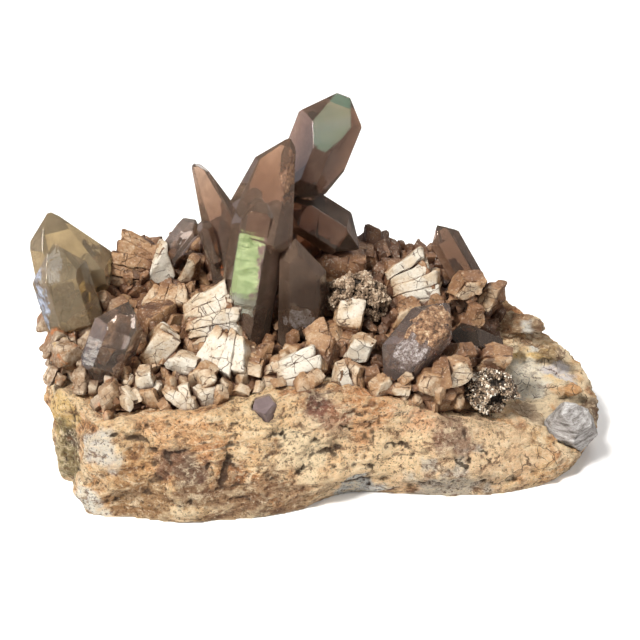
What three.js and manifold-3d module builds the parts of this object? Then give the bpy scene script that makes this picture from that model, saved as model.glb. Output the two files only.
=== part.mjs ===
// Smoky quartz cluster: a slab of weathered granite carries a crust of blocky feldspar crystals,
// out of which smoky quartz points and two tufts of fine mica grow.
// Millimetres, +Z up, +X to the right and +Y away from the front of the specimen.
// The origin lies on the flat underside that the slab rests on.
import * as THREE from "three";
import { ConvexGeometry } from "three/addons/geometries/ConvexGeometry.js";
import { ImprovedNoise } from "three/addons/math/ImprovedNoise.js";
import { mergeVertices } from "three/addons/utils/BufferGeometryUtils.js";
import Module from "manifold-3d";

const wasm = await Module();
wasm.setup();

// Driving dimensions
const GAP = 0.3; // clearance between a crystal and the socket that it grows in
const RHOMB_TILT = THREE.MathUtils.degToRad(51.8); // quartz: cap face against the plane across the axis
const REGULAR_CAPS = [0, 2, 0, 2, 0, 2]; // set-back of the cap faces where a crystal doesn't list its own
const TUFT_LUMP = { size: 0.55, depth: 0.3 }; // lumps of a mica tuft, with its radius as 1
const FELDSPAR_SHEAR = 0.28; // lean of a feldspar block's end faces
const PLATE_PEAK = 0.08; // narrowing of a fan's plate towards its upper side
const PLATE_SHORTER = 0.06; // share by which a plate is shorter for each step away from the middle one
const PLATE_RISE = 0.7; // rise from one plate of a fan to the next, as a share of its thickness
const CRUST_FRONT = { y: -34, z: 37 }; // the crust's surface at the front edge of the slab
const CRUST_SLOPE = 0.25; // rise of that surface towards the back
const CRUST_DROP = { from: 36, to: 72, depth: 17 }; // its fall towards the bare right end, along X
const CUSHION_SINK = 2.2; // how far the grown-together base stays below the tops of the blocks
const CUSHION_DEPTH = 16; // from the crust's surface down into the slab
const CUSHION_FOOT = 0.96; // its lowest ring, as a share of the way out from the middle
const CUSHION_RINGS = [0.92, 0.66, 0.34]; // the rings of its upper side, in the same measure
const CUSHION_LUMP = { size: 9, depth: 2 }; // lumps of its surface
const CUSHION_SAMPLES = 40; // points on each ring
const SLAB_CENTRE = [-5, 2, 33]; // middle of the slab's upper side, under the crust
const SLAB_STEPS = 3; // samples between two neighbouring points of an outline
const SLAB_LUMPS = [
  { size: 17, depth: 4 },
  { size: 6.5, depth: 2.2 },
]; // lumps of its broken sides, coarse and fine
const FOOT_TO_BELT = [0.5]; // where further rings lie between the slab's outlines, as shares of the way
const BELT_TO_RIM = [0.3, 0.65];
const RIM_TO_CENTRE = [0.16, 0.55];
const LEDGE_PEAK = 0.35; // narrowing of a ledge towards its top
const FRONT = new THREE.Vector3(0, -1, 0);

// The slab's outlines, from the right end round the front, the left end and the back.
// Foot: on the surface that it rests on. Belt: the widest place of the broken side. Rim: the upper edge.
const SLAB_FOOT = [
  [88, -6], [80, -22], [66, -31], [48, -35], [26, -33], [8, -33], [-6, -42], [-22, -47],
  [-38, -49], [-57, -47], [-73, -44], [-76, -28], [-84, -25], [-85, -8], [-82, 10], [-74, 26],
  [-50, 34], [-20, 36], [10, 35], [40, 32], [64, 24], [82, 12],
].map(([x, y]) => [x, y, 0]);
const SLAB_BELT = [
  [95, -4, 9], [88, -20, 7], [74, -29, 8], [54, -38, 9], [32, -38, 10], [10, -39, 12], [-8, -45, 12],
  [-24, -48, 12], [-40, -49, 12], [-58, -47, 12], [-74, -44, 12], [-78, -30, 13], [-86, -25, 14],
  [-87, -6, 18], [-88, 12, 20], [-82, 30, 22], [-55, 42, 24], [-22, 44, 24], [10, 43, 24],
  [42, 40, 22], [68, 32, 18], [87, 18, 14],
];
const SLAB_RIM = [
  [93, 0, 14], [86, -15, 15], [71, -23, 17], [51, -29, 23], [34, -33, 33], [12, -35, 37], [-5, -36, 38],
  [-22, -41, 35], [-38, -42, 35], [-54, -42, 35], [-68, -42, 33], [-75, -31, 33], [-83, -21, 31],
  [-88, -4, 38], [-90, 14, 41], [-82, 33, 44], [-56, 43, 45], [-24, 45, 46], [8, 44, 46],
  [40, 41, 42], [66, 34, 35], [85, 20, 24],
];
// Foliated ledges of the rock that stand out at the bare right end.
const LEDGES = [
  { at: [63, 22, 32], size: [34, 7, 7], turn: -30, tilt: 16 },
  { at: [72, 12, 26], size: [30, 6, 5], turn: -34, tilt: 17 },
  { at: [78, 2, 19], size: [24, 7, 5], turn: -38, tilt: 13 },
  { at: [60, 9, 30], size: [18, 6, 6], turn: -24, tilt: 14 },
];

// Crystals that grew into each other are listed together and joined in one solid.
// root and tip are points on the axis. faces: distance of the six prism faces from the axis, face 0
// looking to the front and the others following anticlockwise seen from the tip. caps and feet: how far
// each cap face is set back from the tip or the root. taper: degrees that the prism narrows to the tip.
const QUARTZ = {
  quartz_main: [
    { root: [-26.6, -3.5, 34], tip: [-16.5, 5.4, 93], roll: -12, faces: 7.8, caps: [0, 1, 6, 2, 2, 3] },
    { root: [-24.6, 1, 60], tip: [-10.6, 6.4, 109], roll: -14, taper: 12,
      faces: [11, 14, 14, 11, 14, 14], caps: [4, 1, 0, 2, 5, 5], feet: [6, 1, 1, 6, 11, 11] },
    { root: [-5, -3, 33], tip: [-3.5, 1, 78.5], roll: 10,
      faces: [5.5, 5.5, 5, 5, 7.5, 8.5], caps: [0, 9, 9, 2, 0, 0] },
  ],
  quartz_crown: [
    { root: [-9, 21, 70], tip: [8.6, 21, 117.5], roll: -4,
      faces: [10.5, 7, 9.5, 6.5, 11, 8.2], caps: [6.5, 2.5, 0.5, 2, 1, 3], feet: [6, 6, 10, 4, 0, 0] },
    { root: [14.5, 20, 61], tip: [-14, 20, 80.5], roll: 12,
      faces: 7, caps: [0, 1, 0, 2, 0, 1], feet: [1, 2, 1, 2, 1, 0] },
    { root: [-8, 23, 46], tip: [-2, 22, 84], roll: 0, faces: 5 },
  ],
  quartz_blade: [
    { root: [-26, 18.5, 53], tip: [-41.4, 18, 95], roll: 12, taper: 11,
      faces: [8.5, 10.5, 10, 9, 9, 9], caps: [2, 3, 2, 3, 2, 3] },
    { root: [-34, 11.5, 61], tip: [-38.4, 10.5, 77.5], roll: 0, faces: 2.2 },
  ],
  quartz_left_pair: [
    { root: [-79.5, 16, 35], tip: [-84, 18, 80], roll: 26,
      faces: [12, 12, 12, 12, 11, 12], caps: [7, 8, 7, 2, -2, -1], feet: [2, 0, 2, 0, 2, 0] },
    { root: [-77, -1, 34], tip: [-85.4, 0, 74], roll: 14,
      faces: 8, caps: [2, 0, 1, 2, 3, 1], feet: [2, 0, 2, 0, 2, 0] },
  ],
  quartz_left_point: [
    { root: [-71, -25.6, 32], tip: [-58.8, -17, 61.5], roll: 4,
      faces: 6.8, caps: [1, -1, 1, 0, 1, 0], feet: [2, 0, 2, 0, 2, 0] },
  ],
  quartz_lying: [
    { root: [41, -11.2, 57.7], tip: [19.5, -27.3, 36.7], roll: 20,
      faces: 6.9, caps: [1, 0, 1, 0, 1, 0], feet: [1, 0, 1, 0, 1, 0] },
  ],
  quartz_right_point: [
    { root: [51.5, 18, 47], tip: [37.3, 18, 72.2], roll: 10,
      faces: [4.2, 4.6, 4.4, 4.4, 4.4, 4.6], caps: [1, 0, 2, 1, 2, 1] },
  ],
  quartz_dark: [{ root: [56, 4, 30], tip: [40, -8, 44], roll: 5, faces: 6 }],
  quartz_small_back: [{ root: [-52, 24, 55], tip: [-40, 24, 71.5], roll: 10, faces: 3.6 }],
  quartz_chunk: [{ root: [83.5, -13, 10], tip: [76, -25, 25], roll: 25, faces: [6, 7, 6, 6, 7, 6] }],
  quartz_grain: [{ root: [-16.6, -35, 33], tip: [-16.6, -45, 36.5], roll: 15, faces: 4 }],
};

// Tufts of fine mica, as the lumpy balls that their flakes fill.
const TUFTS = {
  mica_tuft_centre: { at: [12, 3, 52], radii: [11, 7.5, 8.5] },
  mica_tuft_right: { at: [54, -20, 30], radii: [8.5, 6.5, 7.5] },
};

// Fans of feldspar plates. size: length, width and thickness of one plate. The plates are stacked, and
// each is turned by spread against the one below, about their common root. turn is about the vertical,
// tilt lifts the free ends, and bank rolls the stack about the plates' length.
const FANS = [
  { at: [-34, -5, 48], size: [19, 13, 3.6], plates: 5, spread: 7, turn: 4, tilt: 12, bank: -25 },
  { at: [-29, -19, 43], size: [15, 9, 3.6], plates: 4, spread: 8, turn: -112, tilt: -46, bank: -90 },
  { at: [-63, 25, 54], size: [14, 12, 4], plates: 5, spread: 5, turn: 180, tilt: 16, bank: 25 },
  { at: [31, 12, 52], size: [16, 11, 3.6], plates: 5, spread: 7, turn: 0, tilt: 20, bank: -25 },
  { at: [-49, 7, 48], size: [11, 9, 3.6], plates: 4, spread: 9, turn: -100, tilt: -20, bank: -80 },
  { at: [-51, -15, 44], size: [13, 8, 4], plates: 3, spread: 10, turn: 30, tilt: 48, bank: 70 },
  { at: [-7, -25, 41], size: [15, 7, 3.6], plates: 3, spread: 5, turn: 12, tilt: 14, bank: -28 },
  { at: [9, -3, 46], size: [11, 9, 4], plates: 3, spread: 10, turn: 80, tilt: 30, bank: 10 },
];

// Single feldspar blocks that stand out. size: length, width, height; peak: how much the top narrows.
const BLOCKS = [
  { at: [-53, 22, 56], size: [10, 8, 13], turn: 10, tilt: 8, peak: 0.75 },
  { at: [-43, 20, 54], size: [7, 6, 9], turn: -15, tilt: 0, peak: 0.5 },
  { at: [-53, -1, 47], size: [13, 9, 7], turn: 35, tilt: 15, peak: 0.2 },
  { at: [-42, -22, 42], size: [12, 7, 5], turn: -15, tilt: -8, peak: 0.3 },
  { at: [-54, -29, 39], size: [7, 7, 8], turn: 15, tilt: 12, peak: 0.2 },
  { at: [0, -18, 43], size: [11, 9, 9], turn: 60, tilt: 25, peak: 0.4 },
  { at: [7, -28, 40], size: [8, 6, 9], turn: 20, tilt: 20, peak: 0.6 },
  { at: [13, -16, 44], size: [8, 7, 7], turn: -10, tilt: -8, peak: 0.15 },
  { at: [24, 22, 50], size: [8, 8, 11], turn: 20, tilt: 6, peak: 0.3 },
  { at: [28, 2, 47], size: [8, 8, 8], turn: 10, tilt: 0, peak: 0.2 },
  { at: [14, 33, 52], size: [22, 14, 9], turn: -8, tilt: -6, peak: 0.6 },
  { at: [6, 21, 55], size: [22, 13, 11], turn: 0, tilt: -12, peak: 0.3 },
  { at: [48, 10, 52], size: [10, 8, 9], turn: 12, tilt: -10, peak: 0.2 },
  { at: [57, 14, 47], size: [7, 8, 9], turn: -20, tilt: -6, peak: 0.15 },
  { at: [50, 2, 45], size: [8, 7, 8], turn: 30, tilt: 5, peak: 0.6 },
  { at: [19, -31, 38], size: [6.5, 5.5, 6], turn: 35, tilt: 12, peak: 0 },
  { at: [25, -31, 37.5], size: [5.5, 4.5, 4], turn: 0, tilt: 0, peak: 0 },
  { at: [33, -28, 38.5], size: [8, 6, 7], turn: 15, tilt: -12, peak: 0.1 },
  { at: [42, -23, 39], size: [9, 7, 9], turn: 20, tilt: -10, peak: 0.1 },
  { at: [55, -11, 36], size: [11, 9, 9], turn: -8, tilt: -6, peak: 0.1 },
  { at: [-33, 27, 54], size: [12, 10, 9], turn: 40, tilt: 10, peak: 0.3 },
  { at: [-66, 5, 46], size: [9, 8, 7], turn: 25, tilt: 6, peak: 0.3 },
  { at: [-84, -9, 42], size: [7, 9, 9], turn: 20, tilt: -10, peak: 0.4 },
  { at: [-88, 5, 45], size: [6, 11, 10], turn: 5, tilt: -8, peak: 0.4 },
  { at: [-88, 24, 47], size: [8, 9, 9], turn: -25, tilt: 8, peak: 0.4 },
  { at: [-80, -17, 41], size: [9, 8, 8], turn: 40, tilt: 10, peak: 0.2 },
];
// The smaller blocks between them are scattered over the crust.
// side: length of a block's longest edge. width and height are shares of it.
const SCATTER = {
  seed: 66, count: 28, tries: 6000, spacing: 7.5,
  side: [5.5, 9], width: [0.65, 1], height: [0.8, 1.3], peak: [0, 0.5], lean: [-36, 36], turn: [0, 180],
};
const CRUST_OUTLINE = [
  [56, 2], [54, -14], [44, -24], [30, -30], [10, -32.5], [-8, -34], [-30, -38], [-52, -39], [-67, -37],
  [-77, -24], [-85, -10], [-89, 12], [-80, 33], [-50, 43], [-20, 44.5], [12, 43.5], [42, 38], [60, 22],
].map(([x, y]) => new THREE.Vector3(x, y, 0));

// Solids
function solidOf(geometry) {
  const bare = geometry.clone();
  bare.deleteAttribute("normal");
  bare.deleteAttribute("uv");
  const merged = mergeVertices(bare, 1e-4);
  return new wasm.Manifold(
    new wasm.Mesh({
      numProp: 3,
      vertProperties: new Float32Array(merged.attributes.position.array),
      triVerts: new Uint32Array(merged.index.array),
    }),
  );
}

function geometryOf(solid) {
  const mesh = solid.getMesh();
  const geometry = new THREE.BufferGeometry();
  geometry.setAttribute("position", new THREE.BufferAttribute(mesh.vertProperties, mesh.numProp));
  geometry.setIndex(new THREE.BufferAttribute(mesh.triVerts, 1));
  const flat = geometry.toNonIndexed();
  flat.computeVertexNormals();
  return flat;
}

const joined = (solids) => wasm.Manifold.union(solids);

// The largest connected body, so that a socket's cut leaves no loose chips.
function mainBody(solid) {
  return solid.decompose().reduce((most, body) => (body.volume() > most.volume() ? body : most));
}

// Noise of about -1 to 1 with lumps of the given size.
const perlin = new ImprovedNoise();
function lumps(x, y, z, size, octaves = 2) {
  let sum = 0;
  for (let octave = 0; octave < octaves; octave++) {
    const scale = 2 ** octave / size;
    sum += perlin.noise(x * scale + 11.3, y * scale + 5.7, z * scale + 2.1) / 2 ** octave;
  }
  return sum;
}

// A repeatable random source (mulberry32), so that the scatter of small crystals never changes.
function randomFrom(seed) {
  let state = seed;
  return () => {
    state = (state + 0x6d2b79f5) | 0;
    let t = Math.imul(state ^ (state >>> 15), 1 | state);
    t = (t + Math.imul(t ^ (t >>> 7), 61 | t)) ^ t;
    return ((t ^ (t >>> 14)) >>> 0) / 4294967296;
  };
}

// Quartz: the space inside the face planes of a crystal.
function convexFromPlanes(planes) {
  const corners = [];
  const normals = new THREE.Matrix3();
  const corner = new THREE.Vector3();
  for (let i = 0; i < planes.length; i++) {
    for (let j = i + 1; j < planes.length; j++) {
      for (let k = j + 1; k < planes.length; k++) {
        const three = [planes[i], planes[j], planes[k]];
        normals.set(...three.flatMap((plane) => plane.normal.toArray()));
        if (Math.abs(normals.determinant()) < 1e-6) continue;
        corner.set(...three.map((plane) => plane.reach)).applyMatrix3(normals.clone().invert());
        const inside = planes.every((plane) => plane.normal.dot(corner) < plane.reach + 1e-6);
        if (inside && corners.every((other) => other.distanceTo(corner) > 1e-3)) {
          corners.push(corner.clone());
        }
      }
    }
  }
  return new ConvexGeometry(corners);
}

function crystalSolid({ root, tip, roll, faces, caps = REGULAR_CAPS, feet = null, taper = 0 }, grow = 0) {
  const start = new THREE.Vector3(...root);
  const axis = new THREE.Vector3(...tip).sub(start);
  const length = axis.length();
  axis.normalize();
  const front = FRONT.clone().addScaledVector(axis, -FRONT.dot(axis)).normalize();
  const planes = [];
  // A plane leaning from its outward direction towards the axis, through a point out from the axis.
  const addPlane = (outward, lean, out, along) => {
    const normal = outward.clone().multiplyScalar(Math.cos(lean)).addScaledVector(axis, Math.sin(lean));
    const point = start.clone().addScaledVector(outward, out).addScaledVector(axis, along);
    planes.push({ normal, reach: normal.dot(point) + grow });
  };
  const capLean = Math.PI / 2 - RHOMB_TILT;
  for (let i = 0; i < 6; i++) {
    const outward = front.clone().applyAxisAngle(axis, THREE.MathUtils.degToRad(roll + 60 * i));
    const width = Array.isArray(faces) ? faces[i] : faces;
    addPlane(outward, THREE.MathUtils.degToRad(taper), width, 0);
    addPlane(outward, capLean, 0, length - caps[i]);
    if (feet) addPlane(outward, -capLean, 0, feet[i]);
  }
  if (!feet) addPlane(FRONT, -Math.PI / 2, 0, 0);
  return solidOf(convexFromPlanes(planes));
}

const quartzSolid = (crystals, grow = 0) => joined(crystals.map((crystal) => crystalSolid(crystal, grow)));

// Mica: a ball with lumps.
function tuftSolid({ at, radii }, grow = 0) {
  const ball = new THREE.IcosahedronGeometry(1, 2);
  const place = ball.attributes.position;
  for (let i = 0; i < place.count; i++) {
    const point = new THREE.Vector3().fromBufferAttribute(place, i);
    const swell = 1 + TUFT_LUMP.depth * lumps(point.x + at[0], point.y + at[1], point.z, TUFT_LUMP.size);
    const size = radii.map((radius) => radius * swell + grow);
    place.setXYZ(i, at[0] + point.x * size[0], at[1] + point.y * size[1], at[2] + point.z * size[2]);
  }
  return solidOf(ball);
}

// A closed body through rings of points that correspond, from the lowest ring to the highest.
function loftGeometry(rings, bottom, top) {
  const count = rings[0].length;
  const points = [...rings.flat(), bottom, top];
  const triangles = [];
  for (let i = 0; i < count; i++) {
    const next = (i + 1) % count;
    const last = (rings.length - 1) * count;
    triangles.push(points.length - 2, next, i, points.length - 1, last + i, last + next);
    for (let ring = 0; ring < rings.length - 1; ring++) {
      const [low, high] = [ring * count, (ring + 1) * count];
      triangles.push(low + i, low + next, high + next, low + i, high + next, high + i);
    }
  }
  const geometry = new THREE.BufferGeometry().setFromPoints(points);
  geometry.setIndex(triangles);
  geometry.computeVertexNormals();
  return geometry;
}

function outlineRing(points) {
  const curve = new THREE.CatmullRomCurve3(
    points.map((point) => new THREE.Vector3(...point)),
    true,
  );
  const count = points.length * SLAB_STEPS;
  return Array.from({ length: count }, (_, i) => curve.getPoint((count - i) / count));
}

const between = (ring, other, share) => ring.map((point, i) => point.clone().lerp(other[i], share));

// Matrix: the slab, lofted from its foot over belt and rim to the middle of its upper side.
function slabSolid(grow = 0) {
  const [foot, belt, rim] = [SLAB_FOOT, SLAB_BELT, SLAB_RIM].map((points) => outlineRing(points));
  const centre = new THREE.Vector3(...SLAB_CENTRE);
  const middle = rim.map(() => centre);
  const partWay = (from, to, shares) => shares.map((share) => between(from, to, share));
  const side = [...partWay(foot, belt, FOOT_TO_BELT), belt, ...partWay(belt, rim, BELT_TO_RIM)];
  const rings = [foot, ...side, rim, ...partWay(rim, middle, RIM_TO_CENTRE)];
  const geometry = loftGeometry(rings, new THREE.Vector3(0, 0, 0), centre);
  const [place, normal] = [geometry.attributes.position, geometry.attributes.normal];
  const [point, outward] = [new THREE.Vector3(), new THREE.Vector3()];
  for (let i = 0; i < place.count; i++) {
    point.fromBufferAttribute(place, i);
    outward.fromBufferAttribute(normal, i);
    if (point.z === 0) outward.setZ(0);
    const swell = SLAB_LUMPS.map(({ size, depth }) => depth * lumps(point.x, point.y, point.z, size));
    point.addScaledVector(outward, swell[0] + swell[1] + grow);
    place.setXYZ(i, point.x, point.y, Math.max(point.z, 0));
  }
  const ledges = LEDGES.map(({ size, ...pose }) => {
    const grown = size.map((side) => side + 2 * grow);
    return solidOf(placed(blockGeometry(grown, LEDGE_PEAK), pose));
  });
  return joined([solidOf(geometry), ...ledges]);
}

// Feldspar
const crustHeight = (x, y) =>
  CRUST_FRONT.z +
  CRUST_SLOPE * (y - CRUST_FRONT.y) -
  CRUST_DROP.depth * THREE.MathUtils.smoothstep(x, CRUST_DROP.from, CRUST_DROP.to);

function blockGeometry([length, width, height], peak) {
  const block = new THREE.BoxGeometry(length, width, height);
  const place = block.attributes.position;
  for (let i = 0; i < place.count; i++) {
    const upper = place.getZ(i) > 0;
    const across = upper ? place.getX(i) * (1 - peak) : place.getX(i);
    place.setX(i, across + FELDSPAR_SHEAR * place.getZ(i));
  }
  return block;
}

function placed(geometry, { at, turn = 0, tilt = 0, bank = 0 }) {
  const [aboutX, aboutY, aboutZ] = [bank, -tilt, turn].map(THREE.MathUtils.degToRad);
  return geometry.rotateX(aboutX).rotateY(aboutY).rotateZ(aboutZ).translate(...at);
}

function fanSolids({ at, size, plates, spread, turn, tilt, bank }) {
  const [length, width, thickness] = size;
  return Array.from({ length: plates }, (_, i) => {
    const step = i - (plates - 1) / 2;
    const shorter = 1 - PLATE_SHORTER * Math.abs(step);
    const plate = blockGeometry([length * shorter, width * shorter, thickness], PLATE_PEAK);
    plate.translate(length / 2, 0, 0);
    plate.rotateY(THREE.MathUtils.degToRad(-spread * step));
    plate.translate(-length / 2, 0, step * thickness * PLATE_RISE);
    return solidOf(placed(plate, { at, turn, tilt, bank }));
  });
}

function scatterSolids(outline) {
  const random = randomFrom(SCATTER.seed);
  const from = ([low, high]) => THREE.MathUtils.lerp(low, high, random());
  const chosen = [];
  const taken = [...FANS, ...BLOCKS].map(({ at }) => new THREE.Vector2(at[0], at[1]));
  const { min, max } = new THREE.Box2().setFromPoints(outline);
  for (let tries = 0; chosen.length < SCATTER.count && tries < SCATTER.tries; tries++) {
    const spot = new THREE.Vector2(from([min.x, max.x]), from([min.y, max.y]));
    if (!inside(outline, spot)) continue;
    if (taken.some((other) => other.distanceTo(spot) < SCATTER.spacing)) continue;
    taken.push(spot);
    const side = from(SCATTER.side);
    const size = [side, side * from(SCATTER.width), side * from(SCATTER.height)];
    const at = [spot.x, spot.y, crustHeight(spot.x, spot.y)];
    const pose = { at, turn: from(SCATTER.turn), tilt: from(SCATTER.lean), bank: from(SCATTER.lean) };
    chosen.push(solidOf(placed(blockGeometry(size, from(SCATTER.peak)), pose)));
  }
  return chosen;
}

// Whether a spot lies inside a closed outline, by counting the edges crossed on the way out.
function inside(outline, spot) {
  let odd = false;
  outline.forEach((a, i) => {
    const b = outline[(i + 1) % outline.length];
    if (a.y > spot.y === b.y > spot.y) return;
    const cross = a.x + ((spot.y - a.y) / (b.y - a.y)) * (b.x - a.x);
    if (spot.x < cross) odd = !odd;
  });
  return odd;
}

// The base that the blocks grow out of, lofted from its outline to the middle.
function cushionSolid() {
  const curve = new THREE.CatmullRomCurve3(CRUST_OUTLINE, true);
  const centre = new THREE.Vector3(SLAB_CENTRE[0], SLAB_CENTRE[1], 0);
  const at = (point, sink) => point.clone().setZ(crustHeight(point.x, point.y) - sink);
  const ringAt = (share, sink) =>
    Array.from({ length: CUSHION_SAMPLES }, (_, i) => {
      const edge = curve.getPoint(1 - i / CUSHION_SAMPLES);
      const point = centre.clone().lerp(edge, share);
      return at(point, sink - CUSHION_LUMP.depth * lumps(point.x, point.y, 0, CUSHION_LUMP.size));
    });
  const rings = [ringAt(CUSHION_FOOT, CUSHION_DEPTH), ringAt(1, 2 * CUSHION_SINK)];
  rings.push(...CUSHION_RINGS.map((share) => ringAt(share, CUSHION_SINK)));
  return solidOf(loftGeometry(rings, at(centre, CUSHION_DEPTH), at(centre, CUSHION_SINK)));
}

function crustSolid() {
  const fans = FANS.flatMap(fanSolids);
  const blocks = BLOCKS.map(({ size, peak, ...pose }) => solidOf(placed(blockGeometry(size, peak), pose)));
  return joined([cushionSolid(), ...fans, ...blocks, ...scatterSolids(CRUST_OUTLINE)]);
}

// Assembly
const part = new THREE.Group();
function addPiece(name, solid, look) {
  const mesh = new THREE.Mesh(geometryOf(solid), new THREE.MeshStandardMaterial(look));
  mesh.name = name;
  part.add(mesh);
}

const sockets = joined([
  ...Object.values(QUARTZ).map((crystals) => quartzSolid(crystals, GAP)),
  ...Object.values(TUFTS).map((tuft) => tuftSolid(tuft, GAP)),
]);
const ROCK = { color: 0xb98f5c, roughness: 0.9, metalness: 0 };
const IVORY = { color: 0xdccbb0, roughness: 0.7, metalness: 0 };
const SMOKY = { color: 0x6b5444, roughness: 0.08, metalness: 0 };
const MICA = { color: 0x9c8a70, roughness: 0.6, metalness: 0 };
addPiece("matrix", mainBody(slabSolid().subtract(sockets)), ROCK);
addPiece("feldspar_crust", mainBody(crustSolid().subtract(slabSolid(GAP)).subtract(sockets)), IVORY);
for (const [name, crystals] of Object.entries(QUARTZ)) addPiece(name, quartzSolid(crystals), SMOKY);
for (const [name, tuft] of Object.entries(TUFTS)) addPiece(name, tuftSolid(tuft), MICA);

export default part;
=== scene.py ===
import math

import bmesh
import bpy
import numpy as np
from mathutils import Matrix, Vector
from mathutils.bvhtree import BVHTree


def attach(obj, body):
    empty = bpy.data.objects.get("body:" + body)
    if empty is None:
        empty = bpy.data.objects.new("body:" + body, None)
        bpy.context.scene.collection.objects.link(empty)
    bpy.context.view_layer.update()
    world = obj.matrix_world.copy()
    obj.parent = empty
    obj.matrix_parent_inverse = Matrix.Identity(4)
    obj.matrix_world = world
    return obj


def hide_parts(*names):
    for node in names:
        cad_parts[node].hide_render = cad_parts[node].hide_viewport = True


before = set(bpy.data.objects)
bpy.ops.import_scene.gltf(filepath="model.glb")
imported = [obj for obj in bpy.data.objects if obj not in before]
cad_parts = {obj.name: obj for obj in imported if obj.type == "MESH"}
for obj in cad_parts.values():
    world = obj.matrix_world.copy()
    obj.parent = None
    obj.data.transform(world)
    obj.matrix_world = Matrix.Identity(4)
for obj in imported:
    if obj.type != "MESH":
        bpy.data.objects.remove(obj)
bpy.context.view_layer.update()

# The camera looks at the specimen from a little above, as the photograph does, and the stage is
# a pale floor under a soft light from the front left, with weaker light from the side and behind.
MM = 0.001
CAMERA_AT = Vector((0, -423.8, 270.3)) * MM
CAMERA_TARGET = Vector((0, 0, 45)) * MM

lens = bpy.data.cameras.new("camera")
lens.sensor_width = 36
lens.lens = 83.25
camera = bpy.data.objects.new("camera", lens)
camera.location = CAMERA_AT
camera.rotation_euler = (CAMERA_TARGET - CAMERA_AT).to_track_quat("-Z", "Y").to_euler()
bpy.context.scene.collection.objects.link(camera)
bpy.context.scene.camera = camera
bpy.context.scene.view_settings.view_transform = "Standard"


def new_material(name):
    """A material with one Principled shader, and that shader."""
    material = bpy.data.materials.new(name)
    material.use_nodes = True
    return material, material.node_tree.nodes["Principled BSDF"]


def add_node(material, kind, inputs=None, **settings):
    """A new node with its settings made, and each input linked to a socket or set to a value."""
    made = material.node_tree.nodes.new(kind)
    for name, value in settings.items():
        setattr(made, name, value)
    for name, value in (inputs or {}).items():
        if isinstance(value, bpy.types.NodeSocket):
            material.node_tree.links.new(value, made.inputs[name])
        else:
            made.inputs[name].default_value = value
    return made


def place_node(material):
    """Where each point of the surface is, in metres."""
    return add_node(material, "ShaderNodeNewGeometry").outputs["Position"]


def vector_node(material, operation, first, second=(0, 0, 0)):
    """A sum on two vectors. A length, a distance or a dot product comes out as a number."""
    made = add_node(material, "ShaderNodeVectorMath", {0: first, 1: second}, operation=operation)
    return made.outputs["Vector" if operation in ("ADD", "MULTIPLY") else "Value"]


def soft_light(name, at, size, power, tint):
    """A square lamp of that size that shines on the middle of the specimen."""
    lamp = bpy.data.lights.new(name, "AREA")
    lamp.size = size
    lamp.energy = power
    lamp.color = tint
    holder = bpy.data.objects.new(name, lamp)
    holder.location = at
    holder.rotation_euler = (CAMERA_TARGET - Vector(at)).to_track_quat("-Z", "Y").to_euler()
    bpy.context.scene.collection.objects.link(holder)


soft_light("key_light", (-0.52, -0.62, 1.05), 0.3, 29, (1, 0.98, 0.94))
soft_light("side_light", (-1.0, 0.42, 0.16), 0.8, 1.2, (0.95, 0.92, 1))
soft_light("fill_light", (0.85, -0.55, 0.9), 0.6, 5, (1, 0.98, 0.95))
soft_light("back_light", (0.35, 0.8, 0.9), 0.5, 5, (1, 1, 1))

world = bpy.data.worlds.new("studio")
world.use_nodes = True
world.node_tree.nodes["Background"].inputs["Color"].default_value = (1, 0.98, 0.96, 1)
world.node_tree.nodes["Background"].inputs["Strength"].default_value = 0.2
bpy.context.scene.world = world

# Where the lamps no longer reach, between these distances in metres, the floor starts to glow, so that
# it stays as pale there as beside the specimen.
FLOOR_SIZE = 12
LIT_WITHIN = 0.6
DARK_FROM = 2.0
FAR_GLOW = 0.8
bpy.ops.mesh.primitive_plane_add(size=FLOOR_SIZE)
floor = bpy.context.object
floor.name = "floor"
floor_paint, floor_shader = new_material("floor_paint")
floor_shader.inputs["Base Color"].default_value = (0.95, 0.95, 0.95, 1)
floor_shader.inputs["Roughness"].default_value = 1.0
floor_shader.inputs["Specular IOR Level"].default_value = 0.0
floor_shader.inputs["Emission Color"].default_value = (1, 0.99, 0.98, 1)
floor_away = vector_node(floor_paint, "LENGTH", place_node(floor_paint))
far_glow = add_node(floor_paint, "ShaderNodeMapRange", {
    "Value": floor_away, "From Min": LIT_WITHIN, "From Max": DARK_FROM, "To Min": 0.0, "To Max": FAR_GLOW})
floor_paint.node_tree.links.new(far_glow.outputs["Result"], floor_shader.inputs["Emission Strength"])
floor.data.materials.append(floor_paint)
floor.visible_glossy = False


def form_of(node):
    """The node's solid, ready to be asked for its nearest point."""
    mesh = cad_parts[node].data
    return BVHTree.FromPolygons([v.co for v in mesh.vertices], [p.vertices for p in mesh.polygons])


def mirrored(node, middle, corners, away):
    """Where a card has to be for its image to lie at those corners, in millimetres, on the crystal face
    next to the middle."""
    normal = form_of(node).find_nearest(Vector(middle) * MM)[1]
    spots = [Vector(corner) * MM for corner in corners]
    return [spot + (spot - CAMERA_AT).normalized().reflect(normal) * away for spot in spots]


def noise_node(material, place, size, detail=6, rough=0.6, bend=0.0):
    """Noise whose patches are about that size."""
    return add_node(material, "ShaderNodeTexNoise", {
        "Vector": place, "Scale": 1 / size, "Detail": detail, "Roughness": rough, "Distortion": bend,
    }).outputs["Fac"]


def ramp_node(material, factor, stops):
    """The colours that a number passes through, given as (number, colour)."""
    made = add_node(material, "ShaderNodeValToRGB", {"Fac": factor})
    while len(made.color_ramp.elements) < len(stops):
        made.color_ramp.elements.new(0.5)
    for element, (at, shade) in zip(made.color_ramp.elements, stops):
        element.position = at
        element.color = shade
    return made.outputs["Color"]


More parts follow.
